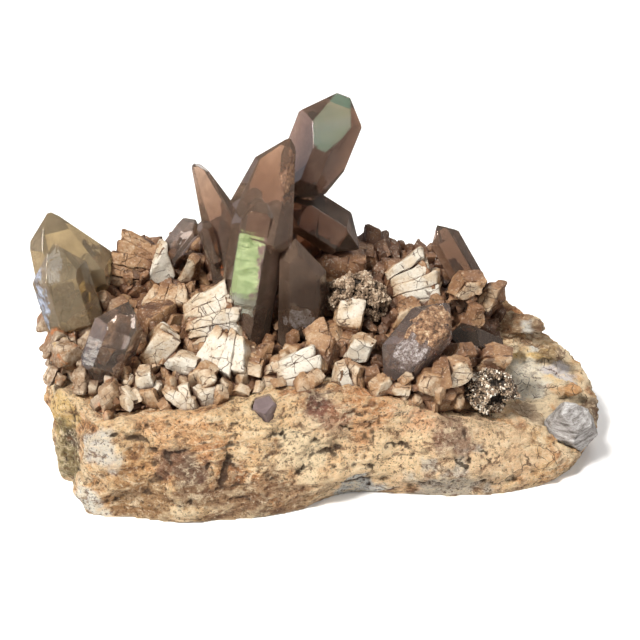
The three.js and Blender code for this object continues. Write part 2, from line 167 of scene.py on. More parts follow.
def lit_card(name, corners, glow, streak, size):
    """A lit card, streaked along its first side, that shows only as a mirror image in the crystals."""
    mesh = bpy.data.meshes.new(name)
    mesh.from_pydata(corners, [], [range(len(corners))])
    card = bpy.data.objects.new(name, mesh)
    bpy.context.scene.collection.objects.link(card)
    material, shader = new_material(name + "_glow")
    along = Vector(corners[1]) - Vector(corners[0])
    across = Vector(corners[-1]) - Vector(corners[0])
    sides = [vector_node(material, "DOT_PRODUCT", place_node(material), way)
             for way in (0.25 * along.normalized(), across.normalized())]
    flat = add_node(material, "ShaderNodeCombineXYZ", {"X": sides[0], "Y": sides[1]}).outputs["Vector"]
    leaves = noise_node(material, flat, size, 5, 0.65, 0.5)
    shine = ramp_node(material, leaves, ((0.4, streak), (0.58, glow)))
    material.node_tree.links.new(shine, shader.inputs["Emission Color"])
    shader.inputs["Base Color"].default_value = (0, 0, 0, 1)
    shader.inputs["Emission Strength"].default_value = 1.0
    mesh.materials.append(material)
    for ray in ("camera", "diffuse", "transmission", "volume_scatter", "shadow"):
        setattr(card, "visible_" + ray, False)


# What each crystal face mirrors: the face's node and a place on it, the image's corners on that face in
# millimetres, how far off the card stands, then its light, its streaks' light and their size.
IMAGES = (
    ("leaf_green", "quartz_main", (-22.6, -6, 68.7),
     ((-25.6, -3.7, 78), (-17.6, -5.4, 77.1), (-20.9, -8.4, 57.8), (-28.7, -6.6, 59.2)),
     0.4, (10, 13.4, 6.4), (3, 5.4, 1.6), 3.6),
    ("pink_edge", "quartz_main", (-22.6, -6, 68.7),
     ((-17.6, -5.4, 77.1), (-16.2, -5.7, 76.9), (-19.5, -8.7, 57.5), (-20.9, -8.4, 57.8)),
     0.4, (6, 4.1, 4), (4.4, 3, 2.9), 12),
    ("pale_green", "quartz_main", (-22.6, -6, 68.7),
     ((-28.7, -6.6, 59.2), (-19.5, -8.7, 57.5), (-20.8, -9.9, 49.7), (-29.9, -7.8, 51.7)),
     0.4, (7.2, 8, 6.4), (0.8, 1, 0.6), 4),
    ("sage", "quartz_crown", (3.8, 17.2, 107.2),
     ((-5.9, 15.8, 107.7), (-3.1, 19.7, 112.1), (5.7, 23.8, 115.2), (13.9, 22.4, 111.1),
      (10.3, 15.8, 103.6), (1.1, 9.9, 98.3), (-4.2, 12.5, 103.1)),
     0.1, (2.5, 4.3, 3.5), (1.6, 3.4, 2.2), 10),
    ("glint", "quartz_left_point", (-61.5, -21.5, 58.2),
     ((-62.5, -22.3, 58), (-61.6, -22.3, 57.6), (-63.7, -25.6, 55.9), (-64.5, -25.5, 56.3)),
     0.25, (20, 18, 16), (9, 7.6, 6.6), 12),
    ("bright_tip", "quartz_left_point", (-61.5, -21.5, 58.2),
     ((-58.4, -19.9, 58), (-57.2, -19.7, 57.6), (-56.9, -23.1, 54.5), (-58.8, -23.8, 54.9)),
     0.25, (15, 13, 11.5), (6, 5, 4.4), 9),
    ("pale_band", "quartz_left_point", (-58.8, -26, 52.9),
     ((-60.2, -25.8, 54.9), (-57.8, -25.4, 54.7), (-59.2, -26.9, 49.2), (-61.3, -27.2, 49.4)),
     0.25, (8, 7, 6.4), (3, 2.4, 2.1), 5),
    ("striae", "quartz_left_point", (-70.2, -25.7, 48.2),
     ((-71.8, -21.6, 50.5), (-66, -27.5, 52.7), (-68.9, -30.2, 44.8), (-73.7, -25.4, 43)),
     0.05, (6, 5.7, 5.2), (1.1, 1.1, 1.3), 1.2),
    ("pale_pink", "quartz_right_point", (38.2, 15.3, 67.2),
     ((37.3, 17.9, 69.6), (39.1, 14.4, 68.3), (39.4, 12.5, 65.3), (37, 16, 64.7)),
     0.08, (7, 6, 5.6), (4, 3.3, 3), 8),
    ("pale_facet", "quartz_left_pair", (-83, -5, 66),
     ((-86.3, -3.1, 68.8), (-83, -0.5, 71.4), (-81, -2.8, 68.6), (-82.2, -8.5, 62.3), (-85.6, -9.1, 61.9)),
     0.1, (3.6, 4, 4.3), (2, 2.2, 2.4), 8),
)
for name, node, middle, corners, away, glow, streak, size in IMAGES:
    lit_card(name + "_card", mirrored(node, middle, corners, away), (*glow, 1), (*streak, 1), size * MM)
WALL = ((1.1, -0.6, -1.4), (1.1, 1.4, -1.4), (1.1, 1.4, 0.4), (1.1, -0.6, 0.4))
WINDOW = ((-1.1, -0.5, -0.7), (-1.1, 1.5, -0.7), (-1.1, 1.5, 0.7), (-1.1, -0.5, 0.7))
lit_card("wall_card", WALL, (0.6, 0.48, 0.42, 1), (0.35, 0.27, 0.23, 1), 250 * MM)
lit_card("window_card", WINDOW, (0.9, 0.8, 0.84, 1), (0.4, 0.34, 0.35, 1), 250 * MM)

# The slab of rock that everything grew on: iron-stained and broken, with a flat underside.
# Its solid is cut into small even faces, and the chips, brows and cracks are pushed into them.
ROCK_FACE = 0.85 * MM
UNDERSIDE = 0.6 * MM
DEEPEST_CHIP = 2.4 * MM
HIGHEST_CHIP = 1.2 * MM
HOLE_DEPTH = 1.4 * MM
END_ROUNDS = 40
HOLLOW_ROUNDS = 8


def fine_copy(node, name, face):
    """A new piece with the node's form in even small faces, for relief that is finer than the solid's."""
    piece = bpy.data.objects.new(name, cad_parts[node].data.copy())
    bpy.context.scene.collection.objects.link(piece)
    even = piece.modifiers.new("even_faces", "REMESH")
    even.mode = "VOXEL"
    even.voxel_size = face
    depsgraph = bpy.context.evaluated_depsgraph_get()
    mesh = bpy.data.meshes.new_from_object(piece.evaluated_get(depsgraph))
    mesh.name = name
    piece.modifiers.clear()
    piece.data = mesh
    mesh.materials.clear()
    return piece


def points_of(mesh):
    """The places of the mesh's vertices, one row each."""
    points = np.empty(len(mesh.vertices) * 3)
    mesh.vertices.foreach_get("co", points)
    return points.reshape(-1, 3)


def normals_of(mesh):
    """The way that each vertex faces, one row each."""
    normals = np.empty(len(mesh.vertices) * 3)
    mesh.vertices.foreach_get("normal", normals)
    return normals.reshape(-1, 3)


def set_points(mesh, points):
    mesh.vertices.foreach_set("co", points.astype(np.float32).ravel())
    mesh.update()


def keep_value(mesh, name, values):
    """Stores a number for each vertex, for the material to read by that name."""
    mesh.attributes.new(name, "FLOAT", "POINT").data.foreach_set("value", values.astype(np.float32))


def kept_node(material, name):
    """The number kept for each vertex under that name."""
    return add_node(material, "ShaderNodeAttribute", attribute_name=name).outputs["Fac"]


def cell_number(cells, seed):
    """A scrambled number from 0 to 255 for each cell of a grid, the same on every run."""
    key = cells @ np.array([73856093, 19349663, 83492791]) + seed * 49979687
    key = (key ^ (key >> 13)) * 1274126177
    return ((key ^ (key >> 16)) >> 4) & 255


DIRECTIONS = np.random.default_rng(7).normal(size=(256, 3))
DIRECTIONS /= np.linalg.norm(DIRECTIONS, axis=1)[:, None]
SHARES = np.random.default_rng(8).random((256, 3))


def smooth_noise(points, size, seed):
    """Noise from about -1 to 1 that rises and falls over that size."""
    cell = np.floor(points / size).astype(np.int64)
    inner = points / size - cell
    fade = inner**3 * (inner * (inner * 6 - 15) + 10)
    total = np.zeros(len(points))
    for corner in np.ndindex(2, 2, 2):
        slope = DIRECTIONS[cell_number(cell + corner, seed)]
        share = np.where(corner, fade, 1 - fade).prod(axis=1)
        total += share * (slope * (inner - corner)).sum(axis=1)
    return total * 1.6


def rough_noise(points, size, seed, layers=4):
    """Smooth noise with finer and weaker layers added to it."""
    return sum(smooth_noise(points, size / 2**k, seed + k) / 2**k for k in range(layers))


def chips(points, size, seed, slant):
    """Height of a surface broken into flat slanted chips of about that size."""
    cell = np.floor(points / size).astype(np.int64)
    nearest = np.full(len(points), np.inf)
    height = np.zeros(len(points))
    for step in np.ndindex(3, 3, 3):
        near = cell + np.array(step) - 1
        code = cell_number(near, seed)
        offset = points - (near + SHARES[code]) * size
        away = np.linalg.norm(offset, axis=1)
        height = np.where(away < nearest, (offset * DIRECTIONS[code]).sum(axis=1), height)
        nearest = np.minimum(nearest, away)
    return slant * height


def ease(values, low, high):
    """0 below low, 1 above high, and a smooth rise between."""
    share = np.clip((values - low) / (high - low), 0, 1)
    return share * share * (3 - 2 * share)


def evened(mesh, rounds):
    """The mesh's points after each has been moved that often to the middle of its neighbours."""
    even = points_of(mesh)
    count = len(even)
    edges = np.empty(len(mesh.edges) * 2, np.int64)
    mesh.edges.foreach_get("vertices", edges)
    first, last = edges.reshape(-1, 2).T
    meeting = np.bincount(first, minlength=count) + np.bincount(last, minlength=count)
    for _ in range(rounds):
        even = np.stack([np.bincount(first, even[last, k], count)
                         + np.bincount(last, even[first, k], count) for k in range(3)], axis=1)
        even /= meeting[:, None]
    return even


def under_crust(points):
    """Which points have the feldspar crust above them, and so have to stay below it."""
    lift = Vector((0, 0, 1))
    return np.array([crust_form.ray_cast(Vector(p), lift)[0] is not None for p in points])


crust_form = form_of("feldspar_crust")
rock = fine_copy("matrix", "rock_slab", ROCK_FACE)
places = points_of(rock.data)
# The bare end at the right is broken in rounder forms than the rest.
bare_end = ease(places[:, 0], 54 * MM, 64 * MM) * ease(places[:, 2], 4 * MM, 9 * MM)
set_points(rock.data, places + 0.85 * bare_end[:, None] * (evened(rock.data, END_ROUNDS) - places))
places = points_of(rock.data)
outward = normals_of(rock.data)
upright = 1 - np.abs(outward[:, 2])
ridge = ease(places[:, 1], 10 * MM, 16 * MM) * bare_end
layer = places @ np.array([-0.16, 0.25, 1]) + 3 * MM * smooth_noise(places, 24 * MM, 3)
ledge = (layer / (5 * MM)) % 1
relief = (chips(places, 15 * MM, 11, 0.05) + chips(places, 6 * MM, 12, 0.06)
          + chips(places, 2.4 * MM, 13, 0.17) + 0.22 * MM * rough_noise(places, 2.2 * MM, 14)
          + (0.25 * upright + 0.4 * ridge) * MM * (ledge - 0.5)
          + bare_end * (chips(places, 8 * MM, 15, 0.1) + chips(places, 3.6 * MM, 16, 0.14)))
# Cracks and brows across the front, as (x, z) on it, then how wide and how deep each is.
SEAMS = (
    (((-63, 29), (-55, 26.5), (-47, 23.5), (-36, 24), (-21, 27.5), (-6, 27)), 0.9, 0.9),
    (((6, 28), (17, 22), (29, 17.6), (44, 13), (60, 8.8)), 0.45, 0.9),
    (((45, 21), (52, 15), (58, 9)), 0.45, 0.8),
    (((-52, 9), (-38, 7), (-26, 9), (-12, 6)), 0.8, 0.7),
    (((4, 7), (20, 6), (36, 6.5), (52, 6)), 0.8, 0.8),
    (((-30, 20), (-20, 15), (-8, 14), (2, 17)), 0.5, 0.5),
)
waver = places[:, [0, 2]] + 1.6 * MM * np.stack([rough_noise(places, 6 * MM, s) for s in (21, 25)], 1)
seam_depth = np.zeros(len(places))
for line, width, depth in SEAMS:
    line = np.array(line) * MM
    for start, end in zip(line[:-1], line[1:]):
        along = np.clip(((waver - start) @ (end - start)) / ((end - start) @ (end - start)), 0, 1)
        away = np.linalg.norm(waver - start - along[:, None] * (end - start), axis=1)
        seam_depth = np.maximum(seam_depth, depth * MM * (1 - ease(away, 0.2 * width * MM, 1.5 * width * MM)))
relief -= seam_depth * ease(-outward[:, 1], 0.2, 0.6) * ease(rough_noise(places, 9 * MM, 29), -0.5, 0.2)
# Dark holes where grains fell out, as (x, z) on the front and how wide each is.
HOLES = (((-47, 22), 1.3), ((-34, 19.5), 1.4), ((-40, 10), 0.9))
for centre, width in HOLES:
    away = np.linalg.norm(waver / MM - centre, axis=1)
    relief -= HOLE_DEPTH * (1 - ease(away, 0.4 * width, 1.5 * width)) * ease(-outward[:, 1], 0.2, 0.6)
relief = np.clip(relief, -DEEPEST_CHIP, HIGHEST_CHIP)
relief = np.where(under_crust(places), np.minimum(relief, 0), relief)
relief *= ease(places[:, 2], UNDERSIDE, 4 * MM)
set_points(rock.data, places + outward * relief[:, None])
# How far each point lies sunk below its neighbours, for painted shade in the hollows; less at the bare end.
sunken = ((evened(rock.data, HOLLOW_ROUNDS) - points_of(rock.data)) * normals_of(rock.data)).sum(axis=1)
keep_value(rock.data, "hollow", sunken / MM * (1 - 0.5 * bare_end))
# How strongly the small specks and the painted shade in the grain's pits show: less at the bare end.
keep_value(rock.data, "speck_shade", 1 - 0.7 * bare_end)
rock.data.shade_smooth()


def colour(red, green, blue):
    """A colour as the eye reads it on a screen, 0 to 255, turned into the shader's own values."""
    seen = np.array((red, green, blue)) / 255
    linear = np.where(seen < 0.04045, seen / 12.92, ((seen + 0.055) / 1.055) ** 2.4)
    return (*linear.tolist(), 1.0)


# Stains of iron, clay and lichen: where each is and how far it reaches in millimetres, then its colour and
# how strongly it covers.
STAINS = (
    ((4, -38, 18), 26, (236, 202, 158), 0.6), ((46, -35, 16), 28, (236, 202, 162), 0.65),
    ((76, -2, 22), 26, (236, 214, 178), 0.9), ((-58, -44, 12), 20, (190, 142, 88), 0.5),
    ((-45, -42, 33), 15, (226, 172, 120), 0.55), ((-20, -39, 35), 12, (238, 202, 152), 0.6),
    ((14, -36, 33), 13, (212, 146, 90), 0.6), ((33, -32, 29), 12, (222, 164, 122), 0.6),
    ((-2, -36, 36), 8, (72, 48, 48), 0.85), ((3, -38, 33), 8, (140, 86, 66), 0.7),
    ((42, -34, 20), 9, (122, 88, 76), 0.7), ((-42, -46, 20), 8, (108, 76, 66), 0.75),
    ((-40, -49, 13), 8, (96, 68, 52), 0.65), ((-25, -47, 6), 14, (128, 96, 68), 0.7),
    ((-53, -47, 4), 13, (132, 94, 56), 0.65), ((-8, -45, 4), 12, (140, 108, 78), 0.6),
    ((-4, -41, 22), 10, (246, 224, 184), 0.7), ((25, -36, 18), 12, (240, 208, 162), 0.65),
    ((-71, -45, 4), 7, (236, 232, 220), 0.9), ((-67, -45, 25), 7, (220, 216, 206), 0.8),
    ((-82, -27, 25), 10, (206, 168, 92), 0.75), ((-80, -29, 11), 13, (122, 110, 70), 0.85),
    ((-77, -31, 20), 5, (60, 48, 38), 0.8), ((12, -34, 2), 10, (206, 208, 206), 0.9),
    ((40, -35, 2), 16, (188, 184, 174), 0.7), ((73, 8, 26), 9, (246, 208, 134), 0.85),
    ((69, 3, 19), 10, (248, 240, 222), 0.9), ((65, -3, 21), 4.5, (138, 150, 176), 0.75),
    ((83, -6, 21), 9, (212, 148, 84), 0.8), ((81, 8, 20), 6, (216, 210, 214), 0.8),
    ((66, 16, 36), 12, (132, 96, 66), 0.8), ((78, 10, 31), 8, (116, 84, 60), 0.75),
    ((70, 14, 32), 5, (234, 230, 220), 0.9), ((92, -2, 12), 8, (88, 66, 52), 0.8),
    ((68, -15, 18), 7, (150, 120, 96), 0.7),
)
stain = np.zeros((len(places), 4))
for centre, reach, shade, strength in STAINS:
    away = np.linalg.norm(places / MM - centre, axis=1) / reach
    away += 0.55 * rough_noise(places, 7 * MM, int(reach * 7 + centre[0]) % 97)
    share = strength * (1 - ease(away, 0.6, 0.95))
    stain += (np.array(colour(*shade)) - stain) * share[:, None]
stain[:, :3] /= np.maximum(stain[:, 3:], 0.001)
stain_kept = rock.data.attributes.new("stain", "FLOAT_COLOR", "POINT")
stain_kept.data.foreach_set("color", stain.astype(np.float32).ravel())

rock_stone, rock_shader = new_material("iron_stained_rock")
rock_place = place_node(rock_stone)
rock_hollow = kept_node(rock_stone, "hollow")
rock_speck_shade = kept_node(rock_stone, "speck_shade")
rock_stain = add_node(rock_stone, "ShaderNodeAttribute", attribute_name="stain")


def mix_node(material, factor, low, high, blend="MIX"):
    """The low colour turned into the high one by the factor."""
    made = add_node(material, "ShaderNodeMix", data_type="RGBA", blend_type=blend)
    for socket, value in ((made.inputs["Factor"], factor), (made.inputs[6], low), (made.inputs[7], high)):
        if isinstance(value, bpy.types.NodeSocket):
            material.node_tree.links.new(value, socket)
        else:
            socket.default_value = value
    return made.outputs[2]


def range_node(material, value, low, high, start=0.0, end=1.0):
    """A number's range from low to high turned into start to end."""
    return add_node(material, "ShaderNodeMapRange", {
        "Value": value, "From Min": low, "From Max": high, "To Min": start, "To Max": end,
    }, interpolation_type="SMOOTHSTEP").outputs["Result"]


def math_node(material, operation, first, second=0.0):
    """A sum on two numbers."""
    return add_node(material, "ShaderNodeMath", {0: first, 1: second}, operation=operation).outputs[0]


def tinted(material, under, source, low, high, share, shade, where=None):
    """The colour under, turned into the shade by up to that share as the source goes from low to high.
    Where gives the part of it that a place takes up."""
    factor = range_node(material, source, low, high, 0, share)
    if where:
        factor = math_node(material, "MULTIPLY", where, factor)
    return mix_node(material, factor, under, colour(*shade))


def crack_node(material, place, size):
    """Thin broken cracks, 1 in a crack and 0 beside it, round shards of about that size."""
    waver = add_node(material, "ShaderNodeTexNoise", {"Vector": place, "Scale": 400.0}).outputs["Color"]
    waver = vector_node(material, "MULTIPLY", waver, [1.2 * MM] * 3)
    shaken = vector_node(material, "ADD", place, waver)
    edge = add_node(material, "ShaderNodeTexVoronoi", {"Vector": shaken, "Scale": 1 / size},
                    feature="DISTANCE_TO_EDGE").outputs["Distance"]
    return math_node(material, "MULTIPLY", range_node(material, edge, 0.008, 0.03, 0.9, 0),
                     range_node(material, noise_node(material, place, 7 * MM, 3), 0.48, 0.55))


def set_look(material, shader, shade, rough, height, depth, normal=None):
    """Links a colour, a roughness and a bump height to the shader."""
    bump = add_node(material, "ShaderNodeBump", {"Height": height, "Distance": depth, "Strength": 1.0})
    if normal:
        material.node_tree.links.new(normal, bump.inputs["Normal"])
    material.node_tree.links.new(shade, shader.inputs["Base Color"])
    material.node_tree.links.new(rough, shader.inputs["Roughness"])
    material.node_tree.links.new(bump.outputs["Normal"], shader.inputs["Normal"])


flowing = vector_node(rock_stone, "MULTIPLY", rock_place, (0.5, 0.5, 1.1))
patch = noise_node(rock_stone, rock_place, 18 * MM, 9, 0.68, 0.6)
blotch = noise_node(rock_stone, flowing, 8 * MM, 8, 0.75, 0.8)
clump = noise_node(rock_stone, flowing, 3 * MM, 7, 0.75, 0.4)
grain = noise_node(rock_stone, rock_place, 1.3 * MM, 5, 0.7)
fleck = noise_node(rock_stone, rock_place, 0.55 * MM, 3, 0.6)
ochre = ramp_node(rock_stone, patch, (
    (0.32, colour(176, 112, 70)), (0.41, colour(208, 150, 96)), (0.50, colour(222, 180, 130)),
    (0.59, colour(228, 196, 150)), (0.68, colour(240, 220, 184))))
ochre = tinted(rock_stone, ochre, blotch, 0.50, 0.41, 0.8, (138, 88, 54))
ochre = tinted(rock_stone, ochre, blotch, 0.51, 0.60, 0.75, (246, 226, 190))
ochre = mix_node(rock_stone, rock_stain.outputs["Alpha"], ochre, rock_stain.outputs["Color"])
# Painted shade: the dark specks sit in the low parts of the bump, painting the small shadows of the grains
# over the rock's own dark mottling, and the pale ones sit on its tops.
some_speck_shade = math_node(rock_stone, "MAXIMUM", rock_speck_shade, 0.6)
ochre = tinted(rock_stone, ochre, clump, 0.48, 0.39, 0.8, (112, 72, 44), some_speck_shade)
ochre = tinted(rock_stone, ochre, clump, 0.53, 0.63, 0.6, (246, 224, 188))
ochre = tinted(rock_stone, ochre, grain, 0.46, 0.38, 0.8, (80, 51, 32), rock_speck_shade)
ochre = tinted(rock_stone, ochre, grain, 0.55, 0.66, 0.5, (246, 228, 194))
ochre = tinted(rock_stone, ochre, fleck, 0.40, 0.32, 0.8, (56, 37, 25), rock_speck_shade)
end_cracks = math_node(rock_stone, "MULTIPLY", range_node(rock_stone, rock_speck_shade, 0.9, 0.3),
                       crack_node(rock_stone, rock_place, 5 * MM))
ochre = mix_node(rock_stone, end_cracks, ochre, colour(92, 62, 42))
# Painted shade: darker brown deep in the hollows, partly the iron that gathers there, and paler on the
# ridges.
ochre = tinted(rock_stone, ochre, rock_hollow, 0.12, 0.5, 0.85, (56, 36, 24))
ochre = tinted(rock_stone, ochre, rock_hollow, -0.12, -0.4, 0.3, (230, 206, 166))
rock_height = math_node(rock_stone, "ADD", math_node(rock_stone, "MULTIPLY", clump, 1.6),
                        math_node(rock_stone, "ADD", grain, math_node(rock_stone, "MULTIPLY", fleck, 0.4)))
rock_rough = range_node(rock_stone, fleck, 0.3, 0.7, 0.95, 0.75)
set_look(rock_stone, rock_shader, ochre, rock_rough, rock_height, 1.8 * MM)
rock.data.materials.append(rock_stone)
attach(rock, "root")
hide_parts("matrix")

# The bed of feldspar: the grown-together base of the crust, brown in its hollows, where painted shade darkens
# it further.
# Its solid is cut into small even faces too, and lies a little back so that the crystals cover it.
# At the left end, clay washed over the slope has set on it and on its crystals.
BED_FACE = 0.8 * MM
BED_SINK = 1.1 * MM


def crust_level(x, y):
    """The height of the bed between its blocks: it rises to the back and falls off to the right."""
    return (37 + 0.25 * (y / MM + 34) - 17 * ease(x / MM, 36, 72)) * MM


def clay_share(points):
    """How much clay lies on the crust: it covers the slope at the left end."""
    return ease(-points[:, 0], 62 * MM, 70 * MM) * (1 - ease(points[:, 1], 0, 10 * MM))


bed = fine_copy("feldspar_crust", "feldspar_bed", BED_FACE)
places = points_of(bed.data)
outward = normals_of(bed.data)
low_rim = ease(crust_level(places[:, 0], places[:, 1]) - places[:, 2], 3 * MM, 6 * MM)
relief = (chips(places, 4.5 * MM, 33, 0.16) + chips(places, 2.2 * MM, 34, 0.16)
          + 0.12 * MM * rough_noise(places, 1.6 * MM, 35) - BED_SINK * (1 - low_rim))
set_points(bed.data, places + outward * relief[:, None])
keep_value(bed.data, "bare", np.zeros(len(places)))
keep_value(bed.data, "tan", 0.75 - 0.15 * low_rim + 0.25 * smooth_noise(places, 9 * MM, 36))
keep_value(bed.data, "cleavage", np.zeros(len(places)))
keep_value(bed.data, "clay", clay_share(places))
bed.data.shade_smooth()

feldspar, feldspar_shader = new_material("cream_feldspar")
felds_place = place_node(feldspar)
felds_tan, felds_bare, felds_cleave, felds_clay = [
    kept_node(feldspar, name) for name in ("tan", "bare", "cleavage", "clay")]
cloud = noise_node(feldspar, felds_place, 4.5 * MM, 6, 0.65)
grit = noise_node(feldspar, felds_place, 0.8 * MM, 4, 0.65)
tone = math_node(feldspar, "ADD", felds_tan, range_node(feldspar, cloud, 0.3, 0.7, -0.15, 0.15))
cream = ramp_node(feldspar, tone, (
    (0.0, colour(194, 187, 174)), (0.25, colour(180, 162, 138)), (0.5, colour(150, 116, 82)),
    (0.75, colour(116, 81, 53)), (1.0, colour(82, 54, 35))))
grey_clay = ramp_node(feldspar, noise_node(feldspar, felds_place, 7 * MM, 7, 0.7, 0.5), (
    (0.38, colour(162, 94, 40)), (0.46, colour(116, 88, 60)), (0.53, colour(140, 120, 98)),
    (0.6, colour(172, 156, 136)), (0.68, colour(192, 158, 102))))
cream = mix_node(feldspar, math_node(feldspar, "MULTIPLY", felds_clay, 0.85), cream, grey_clay)
cream = tinted(feldspar, cream, grit, 0.46, 0.32, 0.5, (110, 76, 52))
cream = tinted(feldspar, cream, grit, 0.54, 0.68, 0.35, (206, 194, 174))
fold = math_node(feldspar, "SUBTRACT", math_node(feldspar, "FRACT", felds_cleave), 0.5)
fold = math_node(feldspar, "ABSOLUTE", fold)
split = math_node(feldspar, "MULTIPLY", range_node(feldspar, fold, 0.015, 0.045, 1, 0),
                  range_node(feldspar, noise_node(feldspar, felds_place, 3.5 * MM, 3), 0.47, 0.57))
hairline = crack_node(feldspar, felds_place, 4.2 * MM)
crack = math_node(feldspar, "MULTIPLY", math_node(feldspar, "MAXIMUM", split, hairline), felds_bare)
cream = mix_node(feldspar, math_node(feldspar, "MULTIPLY", crack, 0.85), cream, colour(70, 44, 28))
# Painted shade: the colour turns deep brown where the crystals close in on each other, standing in for the
# shade between them as well as the iron stain in the crevices.
crevice_shade_and_stain = add_node(feldspar, "ShaderNodeAmbientOcclusion", {"Distance": 2.6 * MM}, samples=6).outputs["AO"]
cream = tinted(feldspar, cream, crevice_shade_and_stain, 0.85, 0.2, 0.95, (84, 50, 30))
felds_height = math_node(feldspar, "SUBTRACT", grit, crack)
felds_rough = range_node(feldspar, grit, 0.3, 0.7, 0.75, 0.5)
set_look(feldspar, feldspar_shader, cream, felds_rough, felds_height, 0.28 * MM)
bed.data.materials.append(feldspar)
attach(bed, "root")
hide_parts("feldspar_crust")

# The larger feldspar crystals: fans of cleaved plates and leaning blocks, at the solid's own places.
# Their grown faces are brown, the cleavage faces towards the front fresh and pale, with dark cracks.

# Each fan: its middle and the size of a plate, how many plates, the degrees between them, then how it is
# turned, tilted and rolled, and how tan it is.
FANS = (
    ((-34, -5, 48), (19, 13, 3.6), 5, 7, 4, 12, -25, 0.12),
    ((-29, -19, 43), (15, 9, 3.6), 4, 8, -112, -46, -90, 0.02),
    ((-63, 25, 54), (14, 12, 4), 5, 5, 180, 16, 25, 0.47),
    ((31, 12, 52), (16, 11, 3.6), 5, 7, 0, 20, -25, 0.1),
    ((-49, 7, 48), (11, 9, 3.6), 4, 9, -100, -20, -80, 0.4),
    ((-51, -15, 44), (13, 8, 4), 3, 10, 30, 48, 70, 0.12),
    ((-7, -25, 41), (15, 7, 3.6), 3, 5, 12, 14, -28, 0.0),
    ((9, -3, 46), (11, 9, 4), 3, 10, 80, 30, 10, 0.2),
)
